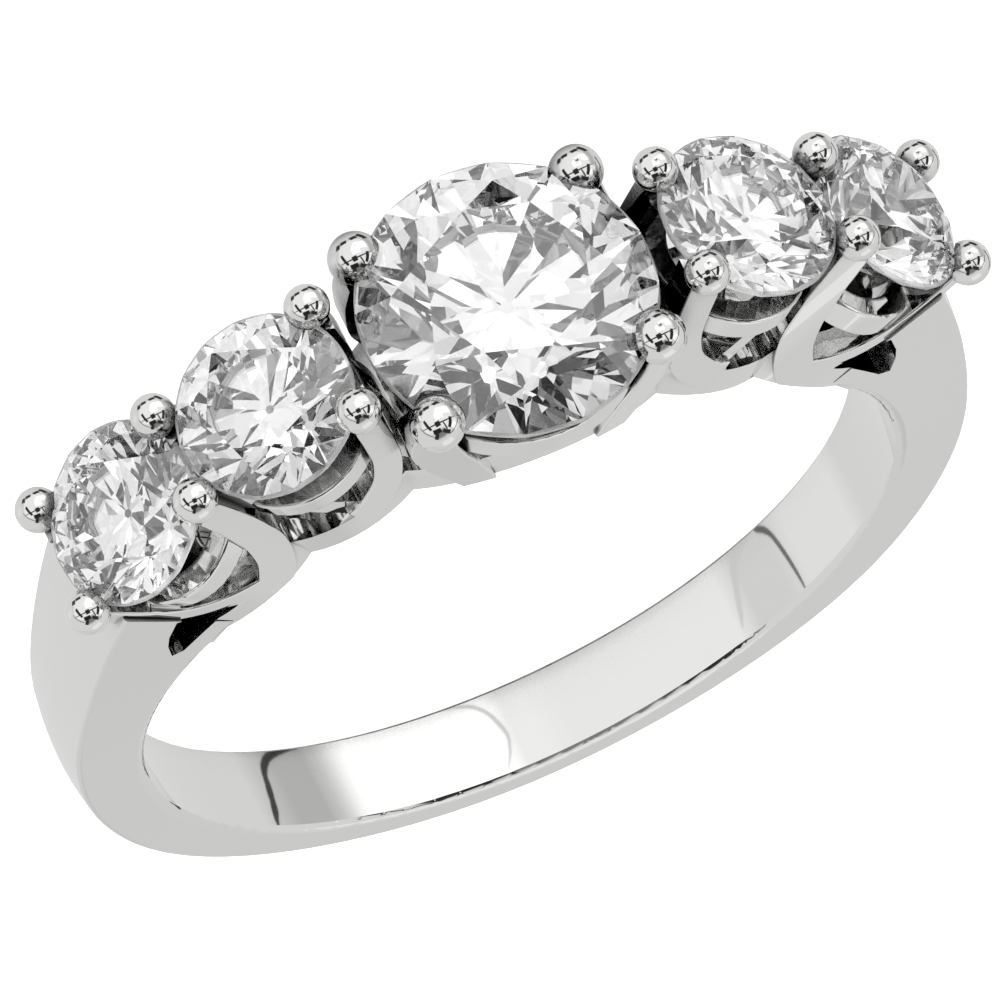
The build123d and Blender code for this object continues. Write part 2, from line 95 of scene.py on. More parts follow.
class Tree:
    """A node tree that is filled by short calls."""

    def __init__(self, tree: bpy.types.NodeTree) -> None:
        """Keep the tree."""
        self.tree = tree

    def node(self, kind: str, **settings: object) -> bpy.types.Node:
        """Add a node and set its properties.

        Args:
            kind: The node's type name.
            settings: Properties to set on it.

        Returns:
            The new node.
        """
        made = self.tree.nodes.new(kind)
        for name, value in settings.items():
            setattr(made, name, value)
        return made

    def link(self, source: bpy.types.NodeSocket, target: bpy.types.NodeSocket) -> None:
        """Join two sockets."""
        self.tree.links.new(source, target)

    def feed(self, socket: bpy.types.NodeSocket, value: object) -> None:
        """Give an input a value: another socket is linked and anything else is set.

        Args:
            socket: The input.
            value: A socket or a plain value.
        """
        if isinstance(value, bpy.types.NodeSocket):
            self.link(value, socket)
        else:
            socket.default_value = value

    def math(self, operation: str, a: object, b: object = 0.0) -> bpy.types.NodeSocket:
        """Add a math node.

        Args:
            operation: Blender's name of the operation.
            a: A socket or a number.
            b: A socket or a number.

        Returns:
            The node's output.
        """
        made = self.node("ShaderNodeMath", operation=operation)
        for socket, value in zip(made.inputs, (a, b)):
            self.feed(socket, value)
        return made.outputs[0]

    def vector_math(self, operation: str, a: object, b: object) -> bpy.types.Node:
        """Add a vector math node and return it.

        Args:
            operation: Blender's name of the operation.
            a: A socket or three numbers.
            b: A socket or three numbers.

        Returns:
            The node, with outputs Vector and Value.
        """
        made = self.node("ShaderNodeVectorMath", operation=operation)
        for socket, value in zip(made.inputs, (a, b)):
            self.feed(socket, value)
        return made

    def noise(self, vector: bpy.types.NodeSocket, scale: object, detail: float = 2.0
              ) -> bpy.types.NodeSocket:
        """Add a noise texture.

        Args:
            vector: Where it is read.
            scale: Its scale, a socket or a number.
            detail: Its detail.

        Returns:
            The noise, between 0 and 1.
        """
        made = self.node("ShaderNodeTexNoise")
        self.link(vector, made.inputs["Vector"])
        self.feed(made.inputs["Scale"], scale)
        made.inputs["Detail"].default_value = detail
        return made.outputs["Fac"]

    def step(self, value: bpy.types.NodeSocket, low: float, high: float
             ) -> bpy.types.NodeSocket:
        """Add a smooth step.

        Args:
            value: The value.
            low: Where the step starts, at 0.
            high: Where it ends, at 1.

        Returns:
            The step's output.
        """
        made = self.node("ShaderNodeMapRange", interpolation_type="SMOOTHSTEP")
        self.link(value, made.inputs["Value"])
        made.inputs["From Min"].default_value = low
        made.inputs["From Max"].default_value = high
        return made.outputs["Result"]

    def group(self, group: bpy.types.NodeTree, **values: object) -> bpy.types.Node:
        """Place a shared effect.

        Args:
            group: The shared group.
            values: Socket name, with _ for a space, to a value or a socket.

        Returns:
            The group's node.
        """
        made = self.node("ShaderNodeGroup", node_tree=group)
        for name, value in values.items():
            self.feed(made.inputs[name.replace("_", " ")], value)
        return made


def new_group(name: str, inputs: dict[str, tuple[str, object]], outputs: dict[str, str]
              ) -> tuple[Tree, bpy.types.Node, bpy.types.Node]:
    """Start a shader node group with named sockets.

    Args:
        name: The group's name.
        inputs: Socket name to its type and default value.
        outputs: Socket name to its type.

    Returns:
        The tree, its input node and its output node.
    """
    group = bpy.data.node_groups.new(name, "ShaderNodeTree")
    for socket, (kind, default) in inputs.items():
        made = group.interface.new_socket(name=socket, in_out="INPUT", socket_type=kind)
        made.default_value = default
    for socket, kind in outputs.items():
        group.interface.new_socket(name=socket, in_out="OUTPUT", socket_type=kind)
    tree = Tree(group)
    return tree, tree.node("NodeGroupInput"), tree.node("NodeGroupOutput")


class SharedEffects:
    """Node groups that more than one material places with its own values."""

    LINE_STRETCH = 0.12
    LINE_DETAIL = 3.0
    LINE_SHARE = 0.6
    CLOUDS_PER_MM = 0.7
    # steps at a hoop's walls and at its top and bottom, as shares of the stone's half diameter
    HOOP_INNER_WALL = (0.68, 0.72)
    HOOP_OUTER_WALL = (0.94, 0.97)
    HOOP_TOP = (-0.06, -0.01)
    HOOP_BOTTOM = (-0.01, 0.04)

    def __init__(self) -> None:
        """Build each group once."""
        self.polish = self._polish_marks()
        self.distance = self._distance_from_axis()
        self.hoop = self._hoop_share(self.distance)

    def _polish_marks(self) -> bpy.types.NodeTree:
        """Hairlines and faint clouding left by a polishing wheel.

        A noise stretched along one axis gives the hairlines. Another, broad and even, gives the
        clouding. The roughness is Base plus Spread times their mix.

        Returns:
            A group with outputs Roughness and Height.
        """
        tree, start, end = new_group(
            "polish_marks",
            {"Vector": ("NodeSocketVector", (0.0, 0.0, 0.0)),
             "Lines per mm": ("NodeSocketFloat", 12.0),
             "Base": ("NodeSocketFloat", 0.06),
             "Spread": ("NodeSocketFloat", 0.04)},
            {"Roughness": "NodeSocketFloat", "Height": "NodeSocketFloat"})
        in_mm = tree.vector_math("MULTIPLY", start.outputs["Vector"], (PER_MM,) * 3)
        stretch = tree.vector_math("MULTIPLY", in_mm.outputs[0], (self.LINE_STRETCH, 1.0, 1.0))
        lines = tree.noise(stretch.outputs[0], start.outputs["Lines per mm"], self.LINE_DETAIL)
        cloud = tree.noise(in_mm.outputs[0], self.CLOUDS_PER_MM)
        mix = tree.math("ADD", tree.math("MULTIPLY", lines, self.LINE_SHARE),
                        tree.math("MULTIPLY", cloud, 1.0 - self.LINE_SHARE))
        rough = tree.math("ADD", start.outputs["Base"],
                          tree.math("MULTIPLY", mix, start.outputs["Spread"]))
        tree.link(rough, end.inputs["Roughness"])
        tree.link(lines, end.inputs["Height"])
        return tree.tree

    @staticmethod
    def _distance_from_axis() -> bpy.types.NodeTree:
        """Where a point lies against an axis through a place.

        Along is the dot product of the axis with the way from the place to the point. Away is
        the length of what is left of that way.

        Returns:
            A group with outputs Along and Away, in metres.
        """
        tree, start, end = new_group(
            "distance_from_axis",
            {"Vector": ("NodeSocketVector", (0.0, 0.0, 0.0)),
             "Place": ("NodeSocketVector", (0.0, 0.0, 0.0)),
             "Axis": ("NodeSocketVector", (0.0, 0.0, 1.0))},
            {"Along": "NodeSocketFloat", "Away": "NodeSocketFloat"})
        way = tree.vector_math("SUBTRACT", start.outputs["Vector"], start.outputs["Place"])
        along = tree.vector_math("DOT_PRODUCT", way.outputs[0], start.outputs["Axis"])
        across = tree.vector_math("CROSS_PRODUCT", way.outputs[0], start.outputs["Axis"])
        away = tree.vector_math("LENGTH", across.outputs[0], (0.0, 0.0, 0.0))
        tree.link(along.outputs["Value"], end.inputs["Along"])
        tree.link(away.outputs["Value"], end.inputs["Away"])
        return tree.tree

    def _hoop_share(self, distance: bpy.types.NodeTree) -> bpy.types.NodeTree:
        """Which points lie on the hoop under one stone.

        They are those whose depth under the girdle and whose distance from the stone's axis are
        between the hoop's, as shares of the stone's half diameter.

        Args:
            distance: The group that measures both.

        Returns:
            A group with output Share, 1 on the hoop and 0 away from it.
        """
        tree, start, end = new_group(
            "hoop_share",
            {"Vector": ("NodeSocketVector", (0.0, 0.0, 0.0)),
             "Place": ("NodeSocketVector", (0.0, 0.0, 0.0)),
             "Axis": ("NodeSocketVector", (0.0, 0.0, 1.0)),
             "Radius": ("NodeSocketFloat", 0.003),
             "Top": ("NodeSocketFloat", 0.3),
             "Bottom": ("NodeSocketFloat", 0.5)},
            {"Share": "NodeSocketFloat"})
        against = tree.group(distance, **{name: start.outputs[name]
                                          for name in ("Vector", "Place", "Axis")})
        depth = tree.math("MULTIPLY", tree.math(
            "DIVIDE", against.outputs["Along"], start.outputs["Radius"]), -1.0)
        away = tree.math("DIVIDE", against.outputs["Away"], start.outputs["Radius"])
        share = tree.math(
            "MULTIPLY", tree.step(away, *self.HOOP_INNER_WALL),
            tree.math("SUBTRACT", 1.0, tree.step(away, *self.HOOP_OUTER_WALL)))
        above = tree.math("SUBTRACT", depth, start.outputs["Top"])
        below = tree.math("SUBTRACT", start.outputs["Bottom"], depth)
        for room, edge in ((above, self.HOOP_TOP), (below, self.HOOP_BOTTOM)):
            share = tree.math("MULTIPLY", share, tree.step(room, *edge))
        tree.link(share, end.inputs["Share"])
        return tree.tree


def new_material(name: str) -> tuple[bpy.types.Material, Tree, bpy.types.Node]:
    """Make a material with a bare Principled shader.

    Args:
        name: The material's name.

    Returns:
        The material, its tree and the shader.
    """
    material = bpy.data.materials.new(name)
    material.use_nodes = True
    shader = material.node_tree.nodes["Principled BSDF"]
    return material, Tree(material.node_tree), shader


# finishes


@dataclass(frozen=True)
class PolishedMetal:
    """Bright white metal with fine polish marks, and painted shade darkening its recesses."""

    colour: tuple[float, float, float] = (0.86, 0.86, 0.85)
    roughness: float = 0.028
    roughness_spread: float = 0.02
    lines_per_mm: float = 14.0
    mark_depth: float = 0.00012
    mark_strength: float = 0.15
    # painted shade in the recesses: its colour, the occlusion probe's reach in mm, the occlusion
    # range that it fades over and the probe's samples
    painted_shade_colour: tuple[float, float, float] = (0.03, 0.03, 0.03)
    painted_shade_reach: float = 1.3
    painted_shade_range: tuple[float, float] = (0.38, 0.80)
    painted_shade_samples: int = 4

    def build(self, effects: SharedEffects, stones: list[StonePlace]) -> bpy.types.Material:
        """Make the material.

        Painted shade: the colour darkens to near black in recesses, where an occlusion probe
        finds little open space, but not on the hoops under the stones.

        Args:
            effects: The shared node groups.
            stones: Where the stones are.

        Returns:
            The material.
        """
        material, tree, shader = new_material("polished_white_metal")
        place = tree.node("ShaderNodeTexCoord").outputs["Object"]
        marks = tree.group(effects.polish, Vector=place, Lines_per_mm=self.lines_per_mm,
                           Base=self.roughness, Spread=self.roughness_spread)
        tree.link(marks.outputs["Roughness"], shader.inputs["Roughness"])
        bump = tree.node("ShaderNodeBump")
        bump.inputs["Strength"].default_value = self.mark_strength
        bump.inputs["Distance"].default_value = self.mark_depth * MM
        tree.link(marks.outputs["Height"], bump.inputs["Height"])
        tree.link(bump.outputs["Normal"], shader.inputs["Normal"])
        # painted shade: near black mixed into the colour where the occlusion probe finds a
        # recess, left off the hoops
        shade_probe = tree.node("ShaderNodeAmbientOcclusion", samples=self.painted_shade_samples)
        shade_probe.inputs["Distance"].default_value = self.painted_shade_reach * MM
        painted_shade_share = tree.math("SUBTRACT", 1.0, tree.step(shade_probe.outputs["AO"], *self.painted_shade_range))
        for stone in stones:
            top, bottom = stone.hoop
            hoop = tree.group(effects.hoop, Vector=place, Place=tuple(stone.middle),
                              Axis=tuple(stone.axis), Radius=stone.radius, Top=top,
                              Bottom=bottom)
            painted_shade_share = tree.math("MULTIPLY", painted_shade_share,
                             tree.math("SUBTRACT", 1.0, hoop.outputs["Share"]))
        unshaded_share = tree.math("SUBTRACT", 1.0, painted_shade_share)
        mix = tree.node("ShaderNodeMix", data_type="RGBA")
        tree.link(unshaded_share, mix.inputs["Factor"])
        mix.inputs["A"].default_value = (*self.painted_shade_colour, 1.0)
        mix.inputs["B"].default_value = (*self.colour, 1.0)
        tree.link(mix.outputs["Result"], shader.inputs["Base Color"])
        shader.inputs["Metallic"].default_value = 1.0
        return material


@dataclass(frozen=True)
class ClearStone:
    """Clear cut stone with a slightly frosted girdle."""

    colour: tuple[float, float, float] = (1.0, 1.0, 1.0)
    refraction: float = 2.417
    surface_gloss: float = 0.12
    frost: float = 0.35
    girdle_half: float = 0.09
    girdle_core: float = 0.072

    def build(self, name: str, effects: SharedEffects, place: Vector, axis: Vector
              ) -> bpy.types.Material:
        """Make the material of one stone.

        Args:
            name: The material's name.
            effects: The shared node groups.
            place: Middle of the stone's girdle.
            axis: Direction out of its table.

        Returns:
            The material.
        """
        material, tree, shader = new_material(name)
        point = tree.node("ShaderNodeTexCoord").outputs["Object"]
        against = tree.group(effects.distance, Vector=point, Place=tuple(place),
                             Axis=tuple(axis))
        height = tree.math("ABSOLUTE", against.outputs["Along"])
        off = tree.step(height, self.girdle_core * MM, self.girdle_half * MM)
        frost = tree.math("MULTIPLY", tree.math("SUBTRACT", 1.0, off), self.frost)
        tree.link(frost, shader.inputs["Roughness"])
        shader.inputs["Base Color"].default_value = (*self.colour, 1.0)
        shader.inputs["Transmission Weight"].default_value = 1.0
        shader.inputs["IOR"].default_value = self.refraction
        shader.inputs["Specular IOR Level"].default_value = self.surface_gloss
        return material


@dataclass(frozen=True)
class GlowingSheet:
    """Dull sheet with faint clouding and an even white glow, for pieces of the stage."""

    colour: tuple[float, float, float]
    glow: float
    roughness: float
    roughness_spread: float
    cloud_scale: float
    gloss: float

    def build(self, name: str) -> bpy.types.Material:
        """Make the material.

        Only the rays that meet the sheet find its glow, so it is no lamp.

        Args:
            name: The material's name.

        Returns:
            The material.
        """
        material, tree, shader = new_material(name)
        cloud = tree.noise(tree.node("ShaderNodeTexCoord").outputs["Object"], self.cloud_scale)
        rough = tree.math("ADD", tree.math("MULTIPLY", cloud, self.roughness_spread),
                          self.roughness)
        tree.link(rough, shader.inputs["Roughness"])
        shader.inputs["Base Color"].default_value = (*self.colour, 1.0)
        shader.inputs["Specular IOR Level"].default_value = self.gloss
        shader.inputs["Emission Color"].default_value = WHITE
        shader.inputs["Emission Strength"].default_value = self.glow
        material.cycles.emission_sampling = "NONE"
        return material


# the ring's pieces

# facets face the same way where the cosine between their directions is above this
SAME_WAY = 0.9999
# corners are on the girdle past this share of the greatest distance from the axis
GIRDLE_SHARE = 0.98
# times that the axis is moved to the girdle's middle and the girdle is looked for again
GIRDLE_ROUNDS = 3


@dataclass(frozen=True)
class StonePlace:
    """Where a cut stone lies: middle of the girdle, half diameter and direction of the table.

    The middle and the radius are in metres, and the hoop's depths are shares of the radius.
    """

    middle: Vector
    axis: Vector
    radius: float
    hoop: tuple[float, float]

    @classmethod
    def from_mesh(cls, mesh: bpy.types.Mesh, hoop: tuple[float, float]) -> StonePlace:
        """Find the place from the facets.

        The table is the widest facet, so its direction is the one that most of the area shares.
        The girdle is where the corners lie furthest from the line through the middle of all of
        them.

        Args:
            mesh: The stone's mesh.
            hoop: Depth of the top and bottom of its hoop, as shares of its half diameter.

        Returns:
            The place, in metres.
        """
        count = len(mesh.polygons)
        normals = np.empty(count * 3)
        areas = np.empty(count)
        mesh.polygons.foreach_get("normal", normals)
        mesh.polygons.foreach_get("area", areas)
        normals = normals.reshape(-1, 3)
        shared = (normals @ normals.T > SAME_WAY) @ areas
        axis = normals[int(shared.argmax())]
        corners = np.empty(len(mesh.vertices) * 3)
        mesh.vertices.foreach_get("co", corners)
        corners = corners.reshape(-1, 3)
        middle = (corners.min(0) + corners.max(0)) / 2
        for _ in range(GIRDLE_ROUNDS):
            way = corners - middle
            across = way - np.outer(way @ axis, axis)
            away = np.linalg.norm(across, axis=1)
            girdle = corners[away > GIRDLE_SHARE * away.max()]
            middle = girdle.mean(0)
        return cls(Vector(middle), Vector(axis), float(away.max()), hoop)


@dataclass
class Mount:
    """The metal of the ring: band, rail, arms, hoops and claws in one piece."""

    # its finish paints shade into the recesses
    finish: PolishedMetal = field(default_factory=PolishedMetal)

    def dress(self, node: bpy.types.Object, effects: SharedEffects, stones: list[StonePlace]
              ) -> None:
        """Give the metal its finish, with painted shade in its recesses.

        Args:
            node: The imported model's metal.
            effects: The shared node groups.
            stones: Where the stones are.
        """
        node.material_slots[0].material = self.finish.build(effects, stones)
        log.info("%s: %d faces", node.name, len(node.data.polygons))


@dataclass
class Stones:
    """The five cut stones."""

    finish: ClearStone = field(default_factory=ClearStone)

    def dress(self, nodes: dict[str, bpy.types.Object], effects: SharedEffects
              ) -> list[StonePlace]:
        """Give each stone its own copy of the finish, set to its place.

        Args:
            nodes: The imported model's objects by name.
            effects: The shared node groups.

        Returns:
            Where the stones are.
        """
        places = []
        for name, hoop in STONE_NODES.items():
            place = StonePlace.from_mesh(nodes[name].data, hoop)
            nodes[name].material_slots[0].material = self.finish.build(
                "clear_" + name, effects, place.middle, place.axis)
            places.append(place)
            log.info("%s: %.2f mm across", name, 2 * place.radius / MM)
        return places


# floor, camera and light


def grid_mesh(name: str, points: np.ndarray) -> bpy.types.Object:
    """Mesh object of a grid of points, a face between each four neighbours.

    Args:
        name: The object's name.
        points: Array of shape (rows, columns, 3), in metres.

    Returns:
        The object, linked to the scene.
    """
    rows, columns, _ = points.shape
    index = np.arange(rows * columns).reshape(rows, columns)
    faces = np.stack([index[:-1, :-1], index[:-1, 1:], index[1:, 1:], index[1:, :-1]], axis=-1)
    mesh = bpy.data.meshes.new(name)
    mesh.from_pydata(points.reshape(-1, 3), [], faces.reshape(-1, 4).tolist())
    mesh.shade_smooth()
    made = bpy.data.objects.new(name, mesh)
    bpy.context.scene.collection.objects.link(made)
    return made


@dataclass
class Floor:
    """Pale round floor that the ring lies on.

    The metal and the stones don't mirror it: they mirror the tent of light, as on a sheet of
    clear glass in the middle of the tent.
    """

    radius: float = 900.0
    rings: int = 24
    turns: int = 96
    finish: GlowingSheet = GlowingSheet((0.93, 0.93, 0.93), glow=1.05, roughness=0.75,
                                        roughness_spread=0.1, cloud_scale=40.0, gloss=0.0)

    def build(self) -> bpy.types.Object:
        """Make the floor.

        A point is a distance from the middle times the cosine and sine of a turn. The distance
        grows as the square of its share, so that the rings are close where the ring lies.

        Returns:
            The floor.
        """
        share = np.linspace(0.0, 1.0, self.rings)[:, None]
        turn = np.linspace(0.0, 2 * np.pi, self.turns + 1)[None, :]
        away = self.radius * MM * share**2
        points = np.stack([away * np.cos(turn), away * np.sin(turn),
                           np.zeros_like(away * turn)], axis=-1)
        floor = grid_mesh("floor", points)
        floor.data.materials.append(self.finish.build("pale_floor"))
        floor.visible_glossy = False
        floor.visible_transmission = False
        log.info("floor: %.0f mm across", 2 * self.radius)
        return floor


@dataclass
class PhotoCamera:
    """Long lens at the photograph's angle to the ring."""

    towards: tuple[float, float, float] = (-0.193, -0.400, 0.896)
    picture_up: tuple[float, float, float] = (0.3622, 0.8196, 0.4439)
    pixels_per_mm: float = 48.43
    hole_pixel: tuple[float, float] = (499.2, 556.0)
    picture_pixels: float = 1000.0
    distance: float = 500.0
    sensor: float = 36.0
    clip: tuple[float, float] = (10.0, 5000.0)

    def pose(self, axes: RingAxes) -> tuple[Vector, Vector, Vector, Vector]:
        """Where the lens is and how it is turned.

        Args:
            axes: Where the finger hole is and how the ring lies.

        Returns:
            The lens's place in metres, and its directions right, up and back.
        """
        back = axes.direction(*self.towards).normalized()
        up = axes.direction(*self.picture_up)
        up = (up - back * up.dot(back)).normalized()
        right = up.cross(back)
        half = self.picture_pixels / 2
        aside = (half - self.hole_pixel[0]) / self.pixels_per_mm * MM
        above = (self.hole_pixel[1] - half) / self.pixels_per_mm * MM
        aim = axes.centre + right * aside + up * above
        return aim + back * self.distance * MM, right, up, back

    def sight_lines(self, axes: RingAxes, pixels: np.ndarray) -> tuple[np.ndarray, np.ndarray]:
        """Lines from the lens through points of the picture.

        A point's distance from the picture's middle, over the pixels for each millimetre and the
        lens's distance, is its line's share to the right or down for each share ahead.

        Args:
            axes: Where the finger hole is and how the ring lies.
            pixels: Array of shape (points, 2), from the picture's upper left corner.

        Returns:
            The lens's place in metres, and an array of the lines' unit directions.
        """
        place, right, up, back = (np.array(part) for part in self.pose(axes))
        away = (pixels - self.picture_pixels / 2) / (self.pixels_per_mm * self.distance)
        lines = away[:, :1] * right - away[:, 1:] * up - back
        return place, lines / np.linalg.norm(lines, axis=1, keepdims=True)

    def build(self, axes: RingAxes) -> bpy.types.Object:
        """Make the camera and use it.

        Args:
            axes: Where the finger hole is and how the ring lies.

        Returns:
            The camera.
        """
        place, right, up, back = self.pose(axes)
        data = bpy.data.cameras.new("photo_camera")
        data.sensor_width = self.sensor
        data.lens = self.sensor * self.pixels_per_mm * self.distance / self.picture_pixels
        data.clip_start, data.clip_end = (length * MM for length in self.clip)
        made = bpy.data.objects.new("photo_camera", data)
        bpy.context.scene.collection.objects.link(made)
        turn = Matrix((right, up, back)).transposed()
        made.matrix_world = Matrix.Translation(place) @ turn.to_4x4()
        bpy.context.scene.camera = made
        log.info("camera: lens %.0f mm, %.1f degrees above the floor", data.lens,
                 math.degrees(math.asin(back.z)))
        return made


def direction_to(azimuth: float, elevation: float) -> Vector:
    """Direction from the ring to a place around it.

    Args:
        azimuth: Degrees from the stones' side (-Y) towards +X.
        elevation: Degrees above the floor.

    Returns:
        A unit vector.
    """
    a, e = math.radians(azimuth), math.radians(elevation)
    return Vector((math.sin(a) * math.cos(e), -math.cos(a) * math.cos(e), math.sin(e)))


# the least share of a direction towards a panel's middle, so that what lies behind misses it
LEAST_AHEAD = 0.001


@dataclass(frozen=True)
class TentPanel:
    """Four-sided panel of the tent around the ring, in degrees as seen from the ring."""

    azimuth: float
    elevation: float
    half_width: float
    half_height: float
    value: float
    soft: float = 2.0
    roll: float = 0.0

    def axes(self) -> tuple[Vector, Vector, Vector]:
        """Work out how the panel is turned.

        Returns:
            Directions to the panel's middle, along its width and along its height.
        """
        facing = direction_to(self.azimuth, self.elevation)
        side = Vector((math.cos(math.radians(self.azimuth)),
                       math.sin(math.radians(self.azimuth)), 0.0))
        up = facing.cross(side)
        turn = math.radians(self.roll)
        return (facing, side * math.cos(turn) + up * math.sin(turn),
                up * math.cos(turn) - side * math.sin(turn))


@dataclass
class Tent:
    """Soft tent of light around the ring, with brighter and darker panels."""

    value: float = 0.74
    panels: tuple[TentPanel, ...] = ()
    seen_by_camera: float = 1.0

    @staticmethod
    def _panel_group() -> bpy.types.NodeTree:
        """Shared effect that lays one panel over the light so far.

        A direction's place on the panel is its share along the width and along the height, each
        over its share towards the panel's middle. The panel covers it where both are inside the
        half sizes, with soft edges.

        Returns:
            The group, with output Light.
        """
        tree, start, end = new_group(
            "tent_panel",
            {"Light": ("NodeSocketFloat", 0.0),
             "Way": ("NodeSocketVector", (0.0, 0.0, 1.0)),
             "Facing": ("NodeSocketVector", (0.0, 0.0, 1.0)),
             "Side": ("NodeSocketVector", (1.0, 0.0, 0.0)),
             "Up": ("NodeSocketVector", (0.0, 1.0, 0.0)),
             "Half width": ("NodeSocketFloat", 0.3),
             "Half height": ("NodeSocketFloat", 0.3),
             "Soft": ("NodeSocketFloat", 0.03),
             "Value": ("NodeSocketFloat", 1.0)},
            {"Light": "NodeSocketFloat"})

        def share(axis: str) -> bpy.types.NodeSocket:
            """Share of the direction along a named axis."""
            return tree.vector_math("DOT_PRODUCT", start.outputs["Way"],
                                    start.outputs[axis]).outputs["Value"]

        ahead = tree.math("MAXIMUM", share("Facing"), LEAST_AHEAD)
        blur = tree.math("MULTIPLY", start.outputs["Soft"], 0.5)
        covers = []
        for axis, half in (("Side", "Half width"), ("Up", "Half height")):
            away = tree.math("ABSOLUTE", tree.math("DIVIDE", share(axis), ahead))
            inside = tree.node("ShaderNodeMapRange")
            tree.link(away, inside.inputs["Value"])
            tree.link(tree.math("ADD", start.outputs[half], blur), inside.inputs["From Min"])
            tree.link(tree.math("SUBTRACT", start.outputs[half], blur), inside.inputs["From Max"])
            covers.append(inside.outputs["Result"])
        laid = tree.node("ShaderNodeMix", data_type="FLOAT")
        tree.link(tree.math("MULTIPLY", *covers), laid.inputs["Factor"])
        tree.link(start.outputs["Light"], laid.inputs["A"])
        tree.link(start.outputs["Value"], laid.inputs["B"])
        tree.link(laid.outputs["Result"], end.inputs["Light"])
        return tree.tree

    def build(self) -> None:
        """Make the world's light.

        A camera ray that misses the floor, or a ray from the dull floor, meets plain white.
        """
        world = bpy.data.worlds.new("tent")
        bpy.context.scene.world = world
        world.use_nodes = True
        # polished pieces find the tent by their own mirror rays
        world.cycles.sampling_method = "NONE"
        world.node_tree.nodes.clear()
        tree = Tree(world.node_tree)
        way = tree.node("ShaderNodeTexCoord").outputs["Generated"]
        group = self._panel_group()
        light: object = self.value
        for panel in self.panels:
            facing, side, up = panel.axes()
            laid = tree.group(
                group, Light=light, Way=way, Facing=tuple(facing), Side=tuple(side),
                Up=tuple(up), Half_width=math.tan(math.radians(panel.half_width)),
                Half_height=math.tan(math.radians(panel.half_height)),
                Soft=math.radians(panel.soft), Value=panel.value)
            light = laid.outputs["Light"]
        tent = tree.node("ShaderNodeBackground")
        tree.link(light, tent.inputs["Color"])
        plain = tree.node("ShaderNodeBackground")
        plain.inputs["Color"].default_value = WHITE
        plain.inputs["Strength"].default_value = self.seen_by_camera
        mix = tree.node("ShaderNodeMixShader")
        rays = tree.node("ShaderNodeLightPath")
        tree.link(tree.math("MAXIMUM", rays.outputs["Is Camera Ray"],
                            rays.outputs["Is Diffuse Ray"]), mix.inputs[0])
        tree.link(tent.outputs[0], mix.inputs[1])
        tree.link(plain.outputs[0], mix.inputs[2])
        out = tree.node("ShaderNodeOutputWorld")
        tree.link(mix.outputs[0], out.inputs["Surface"])
        log.info("tent: %d panels", len(self.panels))


@dataclass(frozen=True)
class TentStrip:
    """Narrow strip of the tent close under the ring, which only mirrors see.

    It hangs below the clear sheet that the ring lies on, so neither the camera nor a shadow
    meets it. The pixels are points of the picture at which the inside of the band mirrors it.
    """

    name: str
    pixels: tuple[tuple[float, float], ...]
    widths: tuple[float, float]
    value: float
    taper: float
    reach: float = 12.0
    steps: int = 64

    def mirrored_places(self, camera: PhotoCamera, axes: RingAxes) -> np.ndarray:
        """Places under the ring that the finger hole's wall mirrors at the pixels.

        A pixel's sight line leaves the hole where its distance from the hole's line is the
        radius. There it turns back by twice its share along the wall's normal, and is followed
        for the reach.

        Args:
            camera: The camera that sees the pixels.
            axes: Where the finger hole is.

        Returns:
            Array of places, in metres.
        """
        lens, sight = camera.sight_lines(axes, np.array(self.pixels))
        line = np.array(axes.hole)
        start = lens - np.array(axes.centre)
        start -= line * (start @ line)
        across = sight - np.outer(sight @ line, line)
        square, both = (across**2).sum(1), across @ start
        room = both**2 - square * (start @ start - axes.radius**2)
        length = ((np.sqrt(room) - both) / square)[:, None]
        normal = -(start + across * length) / axes.radius
        turned = sight - 2 * (sight * normal).sum(1)[:, None] * normal
        return lens + sight * length + turned * self.reach * MM

    def build(self, camera: PhotoCamera, axes: RingAxes) -> bpy.types.Object:
        """Make the strip.

        The path is the smooth curve through the places: between two of them it is the cubic
        whose slope at each is half the way from the place before to the place after. The strip
        stands across the path, square to the line to the ring. Its width goes evenly from the
        first to the second, and shrinks at the ends by the taper.

        Args:
            camera: The camera that sees the pixels.
            axes: Where the finger hole is, which the strip faces.

        Returns:
            The strip.
        """
        knots = self.mirrored_places(camera, axes)
        padded = np.vstack([2 * knots[0] - knots[1], knots, 2 * knots[-1] - knots[-2]])
        slopes = (padded[2:] - padded[:-2]) / 2
        way = np.linspace(0.0, len(knots) - 1, self.steps)
        at = np.minimum(way.astype(int), len(knots) - 2)
        f = (way - at)[:, None]
        path = ((2 * f**3 - 3 * f**2 + 1) * knots[at] + (f**3 - 2 * f**2 + f) * slopes[at]
                + (3 * f**2 - 2 * f**3) * knots[at + 1] + (f**3 - f**2) * slopes[at + 1])
        run = np.gradient(path, axis=0)
        across = np.cross(run, path - np.array(axes.centre))
        across /= np.linalg.norm(across, axis=1, keepdims=True)
        share = np.sin(np.linspace(0.0, np.pi, self.steps))[:, None] ** self.taper
        width = np.linspace(*self.widths, self.steps)[:, None] * MM
        side = across * share * width / 2
        strip = grid_mesh(self.name, np.stack([path - side, path + side], axis=1))
        cloth = GlowingSheet((0.01, 0.01, 0.01), glow=self.value, roughness=0.7,
                             roughness_spread=0.2, cloud_scale=400.0, gloss=0.5)
        strip.data.materials.append(cloth.build(self.name + "_cloth"))
        strip.visible_camera = False
        strip.visible_shadow = False
        strip.visible_diffuse = False
        log.info("%s: %.2f mm wide", self.name, max(self.widths))
        return strip


